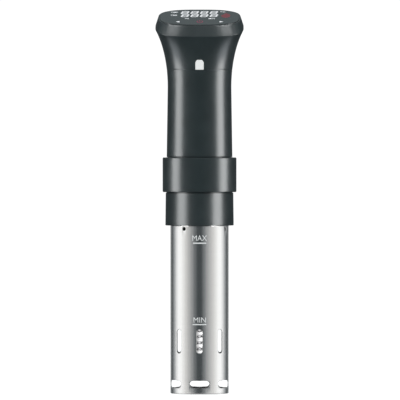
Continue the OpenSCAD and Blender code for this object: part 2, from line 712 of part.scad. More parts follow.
module spring_leg() {
    // the coil's last bend and the leg that pushes on the lever
    bend = [for (i = [0:6]) let (a = -120 + i * 20)
        [5.3, hinge_y + 3.7 * cos(a), hinge_z + 3.7 * sin(a)]];
    color([0.78, 0.78, 0.8]) rod(concat(bend,
        [[5.3, 53.8, 220], [5.3, 54.5, 227], [5.3, 56.4, 237.4]]), 0.55, 8, [1, 0, 0.01]);
}
// Side view of the lever in Y and Z
lever_side = [[47.2, 149], [50.6, 149], [51.2, 190], [54.2, 203], [57, 216],
    [57.8, 226], [60.2, 240], [64.6, 258], [67, 264.5], [65, 266.4],
    [62.4, 263.5], [59, 252], [55.2, 236], [52.4, 223], [44.9, 220.5],
    [44.4, 212], [46.4, 208.5], [47.2, 203]];
module clip_lever() {
    w = clip_w - 3.4;
    color([0.05, 0.06, 0.065]) difference() {
        union() {
            translate([-w, 0, 0]) rotate([90, 0, 90]) linear_extrude(2 * w)
                polygon(lever_side);
            translate([-w, hinge_y, hinge_z]) rotate([0, 90, 0])
                cylinder(r = 7, h = 2 * w, $fn = 48);
            for (z = [244:5:260]) translate([-w, 0, 0]) rotate([90, 0, 90])
                linear_extrude(2 * w) translate([60.2 + (z - 240) * 0.255, z])
                    circle(r = 0.9, $fn = 24);
        }
        translate([-20, hinge_y, hinge_z]) rotate([0, 90, 0])
            cylinder(r = 2.07, h = 40, $fn = 48);
        // pocket for the spring and its leg
        translate([-7, hinge_y, hinge_z]) rotate([0, 90, 0]) cylinder(r = 4.9, h = 14, $fn = 48);
        translate([-7, 0, 0]) rotate([90, 0, 90]) linear_extrude(14)
            polygon([[42, 210], [49, 211], [54.8, 216], [55.2, 226],
                [57.7, 239], [54, 240], [42, 232]]);
    }
}
module lever_jaw_pad() {
    color([0.1, 0.1, 0.1]) {
        translate([-12.4, 46, 151]) cube([24.8, 1.2, 40]);
        for (z = [155:5:190]) translate([-12.4, 45.1, z]) cube([24.8, 1, 2.4]);
    }
}

upper_housing();
grip_housing();
base_collar();
display_panel();
panel_gasket();
display_board();
segment_display();
touch_springs();
board_screws();
status_window();
light_guide();
status_led();
cord_gland();
gland_nut();
housing_screws();
power_board();
relay();
transformer();
filter_capacitor();
triac_heatsink();
ribbon_cable();
heater_leads();
motor_leads();
motor_bracket();
bracket_screws();
motor_can();
motor_end_cap();
motor_magnets();
motor_bushes();
tie_rods();
heater_flange();
shaft_seal();
shaft_bearing();
tube_seal();
outer_tube();
bottom_cap();
heater_coil();
heater_terminals();
temperature_probe();
level_probes();
probe_insulators();
motor_shaft();
motor_rotor();
cooling_fan();
shaft_coupling();
drive_shaft();
impeller();
impeller_nut();
clamp_ring();
ring_liner();
clip_bracket();
clip_screws();
fixed_jaw_pad();
hinge_pin();
clip_spring();
clip_lever();
lever_jaw_pad();
spring_leg();
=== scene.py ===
import bpy, bmesh, json, math
from math import sin, cos, tan, pi, radians, degrees
from mathutils import Vector, Matrix


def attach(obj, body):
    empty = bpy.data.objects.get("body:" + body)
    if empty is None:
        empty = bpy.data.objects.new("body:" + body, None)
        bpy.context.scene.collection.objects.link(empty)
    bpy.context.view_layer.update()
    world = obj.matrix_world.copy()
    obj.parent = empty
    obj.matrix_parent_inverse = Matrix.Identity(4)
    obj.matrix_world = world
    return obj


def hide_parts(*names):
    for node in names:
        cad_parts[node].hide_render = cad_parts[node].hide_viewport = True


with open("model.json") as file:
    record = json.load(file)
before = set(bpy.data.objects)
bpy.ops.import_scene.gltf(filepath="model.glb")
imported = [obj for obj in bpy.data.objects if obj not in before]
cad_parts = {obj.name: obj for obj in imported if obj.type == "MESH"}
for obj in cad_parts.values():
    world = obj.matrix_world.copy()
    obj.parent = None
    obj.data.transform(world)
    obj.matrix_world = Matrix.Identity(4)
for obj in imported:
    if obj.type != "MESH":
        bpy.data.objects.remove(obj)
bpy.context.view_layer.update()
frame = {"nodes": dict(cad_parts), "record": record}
MM = 0.001
scene = bpy.context.scene
NODES = frame["nodes"]
BODY_OF = {n: b for b, ns in frame["record"]["behaviour"]["bodies"].items() for n in ns}
SLOT_OF = {s["node"]: s["material_slot"] for s in frame["record"]["subparts"]}

# ---------------------------------------------------------------- mesh helpers


def sharpen(me, angle=32):
    """Smooth shading with hard edges where faces meet at more than the angle."""
    bm = bmesh.new()
    bm.from_mesh(me)
    for f in bm.faces:
        f.smooth = True
    for e in bm.edges:
        e.smooth = not (len(e.link_faces) == 2 and degrees(e.calc_face_angle(0.0)) > angle)
    bm.to_mesh(me)
    bm.free()


def add(name, verts, faces, angle=32, weld=1e-5):
    """A mesh object from points in millimetres."""
    me = bpy.data.meshes.new(name)
    me.from_pydata([Vector(v) * MM for v in verts], [], faces)
    bm = bmesh.new()
    bm.from_mesh(me)
    bmesh.ops.remove_doubles(bm, verts=bm.verts, dist=weld * MM)
    bad = [f for f in bm.faces if f.calc_area() < 1e-14]
    if bad:
        bmesh.ops.dissolve_degenerate(bm, dist=1e-8, edges=bm.edges)
    bmesh.ops.recalc_face_normals(bm, faces=bm.faces)
    bm.to_mesh(me)
    bm.free()
    sharpen(me, angle)
    o = bpy.data.objects.new(name, me)
    scene.collection.objects.link(o)
    return o


def skin(name, rings, close=True, angle=32):
    """A skin through rings of equal length; the ends are capped if asked."""
    m = len(rings[0])
    verts = [p for r in rings for p in r]
    faces = []
    for i in range(len(rings) - 1):
        for k in range(m):
            a, b = i * m + k, i * m + (k + 1) % m
            faces.append((a, b, b + m, a + m))
    if close:
        faces.append(tuple(reversed(range(m))))
        faces.append(tuple((len(rings) - 1) * m + k for k in range(m)))
    return add(name, verts, faces, angle)


def lathe(name, profile, segs=192, angle=32, closed=True):
    """Turns a closed outline of (radius, height) about Z."""
    n = len(profile)
    verts, faces = [], []
    for k in range(segs):
        a = 2 * pi * k / segs
        for r, z in profile:
            verts.append((r * cos(a), r * sin(a), z))
    for k in range(segs):
        k2 = (k + 1) % segs
        for i in range(n if closed else n - 1):
            j = (i + 1) % n
            faces.append((k * n + i, k2 * n + i, k2 * n + j, k * n + j))
    me_faces = []
    for f in faces:
        ps = [verts[i] for i in f]
        if all(abs(p[0]) < 1e-9 and abs(p[1]) < 1e-9 for p in (ps[0], ps[3])) and all(
            abs(p[0]) < 1e-9 and abs(p[1]) < 1e-9 for p in (ps[1], ps[2])
        ):
            continue
        me_faces.append(f)
    return add(name, verts, me_faces, angle)


def fillet(points, radii, steps=5):
    """Rounds the corners of a closed outline of 2-D points."""
    out, n = [], len(points)
    for i in range(n):
        p0, p1, p2 = (Vector(points[j % n]) for j in (i - 1, i, i + 1))
        r = radii[i]
        a, b = (p0 - p1), (p2 - p1)
        la, lb = a.length, b.length
        if r <= 0 or la < 1e-9 or lb < 1e-9:
            out.append(tuple(p1))
            continue
        a /= la
        b /= lb
        ang = math.acos(max(-1, min(1, a.dot(b))))
        if ang > radians(176):
            out.append(tuple(p1))
            continue
        t = min(r / tan(ang / 2), la * 0.48, lb * 0.48)
        r = t * tan(ang / 2)
        c = p1 + (a + b).normalized() * (r / sin(ang / 2))
        s, e = p1 + a * t, p1 + b * t
        v0, v1 = s - c, e - c
        sweep = pi - ang
        cross = v0.x * v1.y - v0.y * v1.x
        sign = 1 if cross > 0 else -1
        for k in range(steps + 1):
            q = sign * sweep * k / steps
            out.append((c.x + v0.x * cos(q) - v0.y * sin(q), c.y + v0.x * sin(q) + v0.y * cos(q)))
    return out


def bake_modifiers(o):
    dg = bpy.context.evaluated_depsgraph_get()
    me = bpy.data.meshes.new_from_object(o.evaluated_get(dg), depsgraph=dg)
    o.modifiers.clear()
    o.data = me


def cut(o, tool, operation="DIFFERENCE", angle=32):
    """Joins or cuts with another solid and keeps one closed mesh."""
    m = o.modifiers.new("cut", "BOOLEAN")
    m.operation, m.object, m.solver = operation, tool, "EXACT"
    bake_modifiers(o)
    bpy.data.objects.remove(tool, do_unlink=True)
    sharpen(o.data, angle)
    return o


def join(objs, name):
    """Merges several closed meshes into one object."""
    bm = bmesh.new()
    for o in objs:
        bm.from_mesh(o.data)
    me = bpy.data.meshes.new(name)
    bm.to_mesh(me)
    bm.free()
    for o in objs:
        bpy.data.objects.remove(o, do_unlink=True)
    o = bpy.data.objects.new(name, me)
    scene.collection.objects.link(o)
    return o


def prism(name, polys, low, high, place):
    """Flat shapes with a little thickness, put on a surface by place(u, v, h)."""
    bm = bmesh.new()
    for poly in polys:
        a = [bm.verts.new(Vector(place(u, v, low)) * MM) for u, v in poly]
        b = [bm.verts.new(Vector(place(u, v, high)) * MM) for u, v in poly]
        n = len(poly)
        for k in range(n):
            bm.faces.new((a[k], a[(k + 1) % n], b[(k + 1) % n], b[k]))
        top = bm.faces.new(b)
        bot = bm.faces.new(list(reversed(a)))
        bmesh.ops.triangulate(bm, faces=[top, bot])
    bmesh.ops.recalc_face_normals(bm, faces=bm.faces)
    me = bpy.data.meshes.new(name)
    bm.to_mesh(me)
    bm.free()
    sharpen(me, 40)
    o = bpy.data.objects.new(name, me)
    scene.collection.objects.link(o)
    return o


def sweep(name, path, radius, sides=20, closed_ends=True):
    """A round rod along a smooth path, its ends slightly rounded."""
    pts = [Vector(p) for p in path]
    tan_ = []
    for i in range(len(pts)):
        tan_.append((pts[min(i + 1, len(pts) - 1)] - pts[max(i - 1, 0)]).normalized())
    n = Vector((1, 0, 0.01))
    n = (n - tan_[0] * n.dot(tan_[0])).normalized()
    rings = []

    def ring(c, t, n, r):
        b = t.cross(n)
        return [c + (n * cos(2 * pi * k / sides) + b * sin(2 * pi * k / sides)) * r for k in range(sides)]

    rings.append(ring(pts[0] - tan_[0] * 0.0, tan_[0], n, radius * 0.86))
    for i, p in enumerate(pts):
        n = (n - tan_[i] * n.dot(tan_[i])).normalized()
        if i == 0:
            p = p + tan_[0] * radius * 0.14
        if i == len(pts) - 1:
            p = p - tan_[i] * radius * 0.14
        rings.append(ring(p, tan_[i], n, radius))
    rings.append(ring(pts[-1], tan_[-1], n, radius * 0.86))
    return skin(name, rings, True, 50)


def spline(points, steps):
    p = [Vector(q) for q in points]
    out = []
    for i in range(len(p) - 1):
        a, b, c, d = p[max(i - 1, 0)], p[i], p[i + 1], p[min(i + 2, len(p) - 1)]
        for s in range(steps):
            u = s / steps
            out.append(0.5 * (2 * b + (c - a) * u + (2 * a - 5 * b + 4 * c - d) * u * u
                              + (3 * b - a - 3 * c + d) * u ** 3))
    out.append(p[-1])
    return out


# ---------------------------------------------------------------- materials


class Nodes:
    """A small wrapper that keeps node code short."""

    def __init__(self, name):
        self.mat = bpy.data.materials.new(name)
        self.mat.use_nodes = True
        self.t = self.mat.node_tree
        self.t.nodes.clear()
        self.out = self.t.nodes.new("ShaderNodeOutputMaterial")
        self.b = self.t.nodes.new("ShaderNodeBsdfPrincipled")
        self.link(self.b.outputs[0], self.out.inputs[0])
        self.co = self.t.nodes.new("ShaderNodeTexCoord").outputs["Object"]

    def link(self, a, b):
        self.t.links.new(a, b)

    def new(self, kind, **kw):
        n = self.t.nodes.new(kind)
        for k, v in kw.items():
            setattr(n, k, v)
        return n

    def noise(self, scale, detail=3.0, rough=0.5, stretch=(1, 1, 1)):
        m = self.new("ShaderNodeMapping")
        m.inputs["Scale"].default_value = stretch
        self.link(self.co, m.inputs["Vector"])
        n = self.new("ShaderNodeTexNoise")
        n.inputs["Scale"].default_value = scale
        n.inputs["Detail"].default_value = detail
        n.inputs["Roughness"].default_value = rough
        self.link(m.outputs[0], n.inputs["Vector"])
        return n.outputs["Fac"]

    def ramp(self, fac, stops):
        r = self.new("ShaderNodeValToRGB")
        e = r.color_ramp.elements
        while len(e) < len(stops):
            e.new(0.5)
        for el, (pos, col) in zip(e, stops):
            el.position = pos
            el.color = col if len(col) == 4 else (*col, 1)
        self.link(fac, r.inputs[0])
        return r.outputs[0]

    def span(self, fac, lo, hi):
        r = self.new("ShaderNodeMapRange")
        r.inputs["To Min"].default_value = lo
        r.inputs["To Max"].default_value = hi
        self.link(fac, r.inputs["Value"])
        return r.outputs[0]

    def bump(self, fac, strength, distance, under=None):
        b = self.new("ShaderNodeBump")
        b.inputs["Strength"].default_value = strength
        b.inputs["Distance"].default_value = distance
        self.link(fac, b.inputs["Height"])
        if under is not None:
            self.link(under, b.inputs["Normal"])
        return b.outputs[0]


def lin(r, g, b):
    f = lambda c: ((c / 255 + 0.055) / 1.055) ** 2.4 if c > 10 else c / 255 / 12.92
    return f(r), f(g), f(b)


def shade(c, k):
    return tuple(min(1, v * k) for v in c)


def plastic(name, base, rough=0.36, grain=1800, bump=0.12, specular=0.5, vary=0.10, coat=0.0):
    m = Nodes(name)
    fine, broad = m.noise(grain, 3), m.noise(55, 4)
    m.link(m.ramp(broad, [(0.3, shade(base, 1 - vary)), (0.7, shade(base, 1 + vary))]), m.b.inputs["Base Color"])
    m.link(m.span(broad, rough * 0.9, rough * 1.12), m.b.inputs["Roughness"])
    m.link(m.bump(fine, bump, 0.00006), m.b.inputs["Normal"])
    m.b.inputs["Specular IOR Level"].default_value = specular
    m.b.inputs["Coat Weight"].default_value = coat
    m.b.inputs["Coat Roughness"].default_value = 0.2
    return m.mat


def metal(name, base, rough=0.25, streak=(1, 1, 90), grain=60, bump=0.05, vary=0.05, aniso=0.0):
    m = Nodes(name)
    s = m.noise(grain, 5, 0.6, streak)
    broad = m.noise(30, 3)
    m.link(m.ramp(s, [(0.3, shade(base, 1 - vary)), (0.7, shade(base, 1 + vary))]), m.b.inputs["Base Color"])
    mix = m.new("ShaderNodeMath", operation="ADD")
    m.link(m.span(s, -0.03, 0.03), mix.inputs[0])
    m.link(m.span(broad, rough * 0.9, rough * 1.1), mix.inputs[1])
    m.link(mix.outputs[0], m.b.inputs["Roughness"])
    m.link(m.bump(s, bump, 0.00005), m.b.inputs["Normal"])
    m.b.inputs["Metallic"].default_value = 1.0
    m.b.inputs["Anisotropic"].default_value = aniso
    return m.mat


def rubber(name, base, rough=0.75):
    m = Nodes(name)
    fine = m.noise(900, 4, 0.65)
    m.link(m.ramp(m.noise(120, 3), [(0.3, shade(base, 0.85)), (0.7, shade(base, 1.2))]), m.b.inputs["Base Color"])
    m.link(m.span(fine, rough - 0.08, rough + 0.08), m.b.inputs["Roughness"])
    m.link(m.bump(fine, 0.25, 0.0001), m.b.inputs["Normal"])
    return m.mat


BLACK = (0.036, 0.050, 0.053)
MATS = {
    "black_plastic": plastic("black_plastic", BLACK, 0.30, specular=0.5, bump=0.08),
    "panel_black": plastic("panel_black", (0.022, 0.029, 0.030), 0.24, grain=2600, bump=0.05, specular=0.6, vary=0.06),
    "white_lens": plastic("white_lens", (0.80, 0.80, 0.79), 0.45, grain=1500, bump=0.05, vary=0.015),
    "clear_plastic": plastic("clear_plastic", (0.62, 0.66, 0.66), 0.12, bump=0.02, vary=0.02),
    "dark_nylon": plastic("dark_nylon", (0.018, 0.018, 0.019), 0.5, grain=1200, bump=0.2),
    "tube_steel": metal("tube_steel", (0.605, 0.603, 0.598), 0.20, (1, 1, 110), 42, 0.05, 0.05),
    "bright_steel": metal("bright_steel", (0.72, 0.72, 0.73), 0.30, (1, 1, 20), 90, 0.03, 0.04),
    "screw_steel": metal("screw_steel", (0.55, 0.55, 0.56), 0.3, (1, 1, 1), 700, 0.1, 0.08),
    "pressed_metal": metal("pressed_metal", (0.45, 0.46, 0.47), 0.35, (1, 1, 30), 80, 0.08, 0.08),
    "aluminium": metal("aluminium", (0.62, 0.63, 0.64), 0.34, (1, 60, 1), 60, 0.1, 0.06),
    "bronze": metal("bronze", (0.55, 0.36, 0.16), 0.4, (1, 1, 1), 900, 0.2, 0.12),
    "seal_rubber": rubber("seal_rubber", (0.014, 0.014, 0.015)),
    "seal_red": rubber("seal_red", (0.42, 0.04, 0.025), 0.6),
    "circuit_board": plastic("circuit_board", (0.012, 0.085, 0.030), 0.3, grain=500, bump=0.3, vary=0.25),
    "relay_blue": plastic("relay_blue", (0.02, 0.05, 0.22), 0.3),
    "winding_yellow": plastic("winding_yellow", (0.55, 0.38, 0.05), 0.5, grain=600, bump=0.3),
    "capacitor_blue": plastic("capacitor_blue", (0.02, 0.02, 0.10), 0.25),
    "wire_red": rubber("wire_red", (0.45, 0.02, 0.015), 0.5),
    "wire_black": rubber("wire_black", (0.015, 0.015, 0.015), 0.5),
    "ribbon_grey": plastic("ribbon_grey", (0.45, 0.45, 0.46), 0.5, grain=700),
    "ferrite": metal("ferrite", (0.09, 0.09, 0.095), 0.55, (1, 1, 1), 800, 0.3, 0.2),
    "copper_iron": metal("copper_iron", (0.42, 0.18, 0.08), 0.4, (1, 1, 40), 120, 0.3, 0.2),
    "ceramic_white": plastic("ceramic_white", (0.75, 0.75, 0.73), 0.25, bump=0.05, vary=0.03),
}


def glow(name, base, strength, rough=0.4):
    """Printed or lit marks: their own colour plus the same colour as emission, which on printed marks is a painted
    glow.
    """
    m = Nodes(name)
    n = m.noise(1400, 3)
    col = m.ramp(n, [(0.3, shade(base, 0.94)), (0.7, base)])
    m.link(col, m.b.inputs["Base Color"])
    m.link(col, m.b.inputs["Emission Color"])
    m.link(m.span(n, rough * 0.9, rough * 1.1), m.b.inputs["Roughness"])
    m.b.inputs["Emission Strength"].default_value = strength
    return m.mat


MATS["lens_lit"] = glow("lens_lit", (0.80, 0.80, 0.79), 0.54)
MATS["heater_steel"] = metal("heater_steel", (0.74, 0.74, 0.745), 0.46, (1, 1, 1), 260, 0.02, 0.03)
# the level-mark print has no lamp behind it; its emission of 0.35 is a painted glow
MATS["print_painted_glow"] = glow("print_painted_glow", (0.82, 0.83, 0.83), 0.35, 0.5)
MATS["digit_white"] = glow("digit_white", (0.80, 0.81, 0.83), 0.75)
MATS["icon_red"] = glow("icon_red", (0.20, 0.022, 0.035), 0.40)
MATS["icon_magenta"] = glow("icon_magenta", (0.24, 0.03, 0.075), 0.40)


def give(o, mat, body=None, replaces=()):
    o.data.materials.clear()
    o.data.materials.append(MATS[mat])
    if body:
        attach(o, body)
    if replaces:
        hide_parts(*replaces)
    return o


for name, o in NODES.items():
    for s in o.material_slots:
        s.material = MATS[SLOT_OF[name]]

# ---------------------------------------------------------------- the same sizes as the model

TUBE_R, TUBE_WALL = 28.7, 0.8
Z_COLLAR, Z_RING0, Z_RING1, Z_SEAM, Z_WAIST = 165.5, 197.7, 232.4, 317.4, 300.0
Z_HEAD, Z_TOP = 359.2, 368.78
COLLAR_R, WAIST_R, GRIP_R, SEAT_R, SEAM_R = 33.5, 31.2, 32.2, 31.4, 32.08
HEAD_A, HEAD_B, HEAD_N, HEAD_TILT = 43.28, 38.05, 3.2, 14.1
TOP_A, TOP_B, TOP_N, TOP_TILT = 40.3, 35.3, 3.0, 13.1
FLARE_K, WALL = 2.13, 2.4
RING_R = 36.2
T_HEAD, T_TOP = tan(radians(HEAD_TILT)), tan(radians(TOP_TILT))


def super_r(a, b, n, t):
    return 1 / (((abs(cos(t)) / a) ** n + (abs(sin(t)) / b) ** n) ** (1 / n))


def flare_at(z):
    return WAIST_R + (HEAD_A - WAIST_R) * (max(0, z - Z_WAIST) / (Z_HEAD - Z_WAIST)) ** FLARE_K


def flare_point(t, v, off=0.0):
    rc = super_r(HEAD_A, HEAD_B, HEAD_N, t)
    zc = Z_HEAD + rc * sin(t) * T_HEAD
    w = (flare_at(Z_SEAM + v * (Z_HEAD - Z_SEAM)) - SEAM_R) / (HEAD_A - SEAM_R)
    return SEAM_R + (rc - SEAM_R) * w + off, Z_SEAM + v * (zc - Z_SEAM)


def facet_point(t, s):
    rc, rt = super_r(HEAD_A, HEAD_B, HEAD_N, t), super_r(TOP_A, TOP_B, TOP_N, t)
    zc, zt = Z_HEAD + rc * sin(t) * T_HEAD, Z_TOP + rt * sin(t) * T_TOP
    return rc + (rt - rc) * s, zc + (zt - zc) * s


def plane_point(t, inset, drop):
    r = max(0.0, super_r(TOP_A, TOP_B, TOP_N, t) - inset)
    return r, Z_TOP - drop + r * sin(t) * T_TOP


def open_fillet(pts, i, r, steps):
    """Rounds one corner of an open line, always with the same number of points."""
    p0, p1, p2 = Vector(pts[i - 1]), Vector(pts[i]), Vector(pts[i + 1])
    a, b = (p0 - p1), (p2 - p1)
    la, lb = a.length, b.length
    a, b = a / la, b / lb
    ang = math.acos(max(-1, min(1, a.dot(b))))
    t = min(r / tan(ang / 2), la * 0.9, lb * 0.48)
    out = []
    s, e = p1 + a * t, p1 + b * t
    for k in range(steps + 1):
        u = k / steps
        out.append(tuple(s * (1 - u) ** 2 + p1 * 2 * u * (1 - u) + e * u * u))
    return out


def head_profile(t):
    """The outline of the head's shell at one angle, from the seam up, over and back inside."""
    z0 = Z_SEAM + 0.1
    pts = [(SEAM_R - 2.4, z0)]
    pts.append((SEAM_R - 0.12, z0))
    pts += [(SEAM_R - 0.035, z0 + 0.035), (SEAM_R, z0 + 0.12)]
    n = 34
    for i in range(1, n):
        v = 0.02 + 0.955 * i / (n - 1)
        pts.append(flare_point(t, v))
    crease = flare_point(t, 1.0)
    f1 = facet_point(t, 1.0)
    line = [pts[-1], crease, f1]
    pts += open_fillet(line, 1, 0.4, 8)
    for s in (0.35, 0.6, 0.8):
        pts.append(facet_point(t, s))
    rim_in = plane_point(t, 1.35, 0.0)
    pts += open_fillet([facet_point(t, 0.8), f1, rim_in], 1, 0.7, 6)
    low = plane_point(t, 1.35, 2.6)
    pts += open_fillet([f1, rim_in, low], 1, 0.18, 3)
    pts.append(low)
    pts.append((0.0, Z_TOP - 2.6))
    pts.append((0.0, Z_TOP - 5.2))
    pts.append(plane_point(t, 3.4, 5.2))
    for v in (1.0, 0.9, 0.75, 0.55, 0.35, 0.15, 0.03):
        pts.append(flare_point(t, v, -WALL - (0.3 if v == 1.0 else 0)))
    return pts


def head_solid(name, segs=288):
    rows = []
    for k in range(segs):
        t = 2 * pi * k / segs
        rows.append([(r * cos(t), r * sin(t), z) for r, z in head_profile(t)])
    n = len(rows[0])
    verts = [p for row in rows for p in row]
    faces = []
    for k in range(segs):
        k2 = (k + 1) % segs
        for i in range(n):
            j = (i + 1) % n
            f = (k * n + i, k2 * n + i, k2 * n + j, k * n + j)
            if all((verts[q][0] ** 2 + verts[q][1] ** 2) < 1e-12 for q in f):
                continue
            faces.append(f)
    return add(name, verts, faces, 34)


def arch(w, h, r, steps=14):
    pts = [(w / 2, 0), (w / 2, h - r)]
    for k in range(1, steps):
        a = pi / 2 * k / steps
        pts.append((w / 2 - r + r * cos(a), h - r + r * sin(a)))
    pts += [(w / 2 - r, h), (-w / 2 + r, h)]
    for k in range(1, steps):
        a = pi / 2 + pi / 2 * k / steps
        pts.append((-w / 2 + r + r * cos(a), h - r + r * sin(a)))
    pts += [(-w / 2, h - r), (-w / 2, 0)]
    return pts


def arch_prism(name, grow, down, y0=-26, y1=-42):
    poly = arch(8.1 + 2 * grow, 10.1 + grow + down, 3.95 + grow)
    z0 = Z_SEAM + 0.15 - down
    return prism(name, [poly], y0, y1, lambda u, v, h: (u, h, z0 + v))


# ---------------------------------------------------------------- head

head = head_solid("head_shell")
cut(head, arch_prism("w_cut", 0.14, 1.0))
boss = lathe("boss", fillet([(0, 31.4), (9.5, 31.4), (9.5, 37.5), (0, 37.5)], [0, 0, 0.6, 0], 5), 96)
boss.data.transform(Matrix.Translation((0, 0, 0.350)) @ Matrix.Rotation(radians(-90), 4, "X"))
cut(head, boss, "UNION")
hole = lathe("hole", [(0, 25), (6.05, 25), (6.05, 44), (0, 44)], 96)
hole.data.transform(Matrix.Translation((0, 0, 0.350)) @ Matrix.Rotation(radians(-90), 4, "X"))
cut(head, hole)
give(head, "black_plastic", "housing", ("upper_housing",))


# status window: a slightly raised frosted arch
def lens_solid():
    rows = []
    for k in range(97):
        t = radians(-90 - 12 + 24 * k / 96)
        col = []
        for i in range(13):
            r, z = flare_point(t, -0.04 + 0.34 * i / 12, 0.12)
            col.append((r * cos(t), r * sin(t), z))
        for i in range(12, -1, -1):
            r, z = flare_point(t, -0.04 + 0.34 * i / 12, -2.0)
            col.append((r * cos(t), r * sin(t), z))
        rows.append(col)
    n = len(rows[0])
    verts = [p for r in rows for p in r]
    faces = [(k * n + i, (k + 1) * n + i, (k + 1) * n + (i + 1) % n, k * n + (i + 1) % n)
             for k in range(96) for i in range(n)]
    faces.append(tuple(range(n)))
    faces.append(tuple(reversed(range(96 * n, 97 * n))))
    return add("lens", verts, faces, 60)


lens = lens_solid()
cut(lens, arch_prism("w_keep", 0.0, 0.0), "INTERSECT", 50)
b = lens.modifiers.new("edge", "BEVEL")
b.width, b.segments, b.limit_method, b.angle_limit = 0.00025, 3, "ANGLE", radians(50)
bake_modifiers(lens)
sharpen(lens.data, 50)
lens.name = "status_lens"
give(lens, "lens_lit", "housing", ("status_window",))

# touch panel
CT, ST = cos(radians(TOP_TILT)), sin(radians(TOP_TILT))


def on_top(u, v, h):
    """A point of the slanted face: u to the right, v up the slope, h above it."""
    return (u, v * CT - h * ST, Z_TOP + v * ST + h * CT)


def panel_ring(inset, h, segs=288):
    out = []
    for k in range(segs):
        t = 2 * pi * k / segs
        r = super_r(TOP_A - 1.45, (TOP_B - 1.45) / CT, TOP_N, t) - inset
        out.append(on_top(r * cos(t), r * sin(t), h))
    return out


rings = [panel_ring(0.3, -2.1), panel_ring(0.0, -1.9)]
for k in range(7):
    a = pi / 2 * k / 6
    rings.append(panel_ring(0.3 * (1 - cos(a)), 0.12 + 0.3 * sin(a)))
for inset in (1.5, 4.0, 9.0, 16.0, 24.0):
    rings.append(panel_ring(inset, 0.42))
rings.append([on_top(0, 0, 0.42)] * 288)
verts = [p for r in rings for p in r]
faces = []
for i in range(len(rings) - 1):
    for k in range(288):
        a, b2 = i * 288 + k, i * 288 + (k + 1) % 288
        faces.append((a, b2, b2 + 288, a + 288))
faces.append(tuple(reversed(range(288))))
panel = add("touch_face", verts, [f for f in faces], 34)
give(panel, "panel_black", "housing", ("display_panel",))

# marks on the panel: two rows of four digits and a few plain symbols
P0, P1 = 0.4, 0.465


def seg_polys(cx, cy, w, h, s, slant, gap=0.22):
    """The seven bars of a digit."""
    x0, x1, y0, ym, y1 = -w / 2, w / 2, -h / 2, 0.0, h / 2
    bars = []

    def bar(ax, ay, bx, by):
        d = Vector((bx - ax, by - ay)).normalized()
        n = Vector((-d.y, d.x)) * s / 2
        a, b = Vector((ax, ay)) + d * (s / 2 + gap * 0.5), Vector((bx, by)) - d * (s / 2 + gap * 0.5)
        a0, b0 = a - d * s * 0.42, b + d * s * 0.42
        bars.append([a0, a - n, b - n, b0, b + n, a + n])

    i = s / 2
    bar(x0 + i, y1 - i, x1 - i, y1 - i)
    bar(x0 + i, ym, x1 - i, ym)
    bar(x0 + i, y0 + i, x1 - i, y0 + i)
    for x in (x0 + i, x1 - i):
        bar(x, ym, x, y1 - i)
        bar(x, y0 + i, x, ym)
    return [[(cx + p[0] + p[1] * slant, cy + p[1]) for p in b] for b in bars]


digits = []
for cy, h in ((20.9, 12.0), (6.9, 12.2)):
    for cx in (-14.2, -4.75, 4.6, 14.1):
        digits += seg_polys(cx, cy, 7.3, h, 1.55, 0.17)
give(prism("digits", digits, P0, P1, on_top), "digit_white", "housing")


def text_mesh(name, body, size, bold=0.0):
    c = bpy.data.curves.new(name, "FONT")
    c.body, c.size, c.align_x, c.align_y = body, size, "CENTER", "CENTER"
    c.offset = bold
    c.resolution_u = 4
    o = bpy.data.objects.new(name, c)
    scene.collection.objects.link(o)
    bpy.context.view_layer.update()
    dg = bpy.context.evaluated_depsgraph_get()
    me = bpy.data.meshes.new_from_object(o.evaluated_get(dg), depsgraph=dg)
    bpy.data.objects.remove(o, do_unlink=True)
    return me


def text_on(name, body, width, height, u, v, low, high, place, bold=0.0, step=0.8):
    """Plain upright letters fitted to a box and put on a surface, as a thin solid."""
    me = text_mesh(name, body, 10, bold)
    xs, ys = [p.co.x for p in me.vertices], [p.co.y for p in me.vertices]
    cx, cy = (max(xs) + min(xs)) / 2, (max(ys) + min(ys)) / 2
    kx, ky = width / (max(xs) - min(xs)), height / (max(ys) - min(ys))
    bm = bmesh.new()
    bm.from_mesh(me)
    bmesh.ops.remove_doubles(bm, verts=bm.verts, dist=1e-5)
    for p in bm.verts:
        p.co = Vector(((p.co.x - cx) * kx, (p.co.y - cy) * ky, 0))
    n = int(width / step)
    for k in range(-n, n + 1):
        bmesh.ops.bisect_plane(bm, geom=bm.verts[:] + bm.edges[:] + bm.faces[:], plane_co=(k * step, 0, 0),
                               plane_no=(1, 0, 0))
    r = bmesh.ops.extrude_face_region(bm, geom=bm.faces[:])
    for e in r["geom"]:
        if isinstance(e, bmesh.types.BMVert):
            e.co.z = 1.0
    for p in bm.verts:
        p.co = Vector(place(u + p.co.x, v + p.co.y, high if p.co.z > 0.5 else low)) * MM
    bmesh.ops.recalc_face_normals(bm, faces=bm.faces)
    me2 = bpy.data.meshes.new(name)
    bm.to_mesh(me2)
    bm.free()
    sharpen(me2, 40)
    o = bpy.data.objects.new(name, me2)
    scene.collection.objects.link(o)
    return o


def ring_poly(cx, cy, r, w, a0, a1, steps=36, tall=1.0):
    """A ring or an open ring, as short quads."""
    out = []
    for k in range(steps):
        quad = []
        for rr, kk in ((r - w / 2, k), (r + w / 2, k), (r + w / 2, k + 1), (r - w / 2, k + 1)):
            a_ = radians(a0 + (a1 - a0) * kk / steps)
            quad.append((cx + rr * cos(a_), cy + rr * sin(a_) * tall))
        out.append(quad)
    return out


def box_poly(x0, y0, x1, y1):
    return [(x0, y0), (x1, y0), (x1, y1), (x0, y1)]


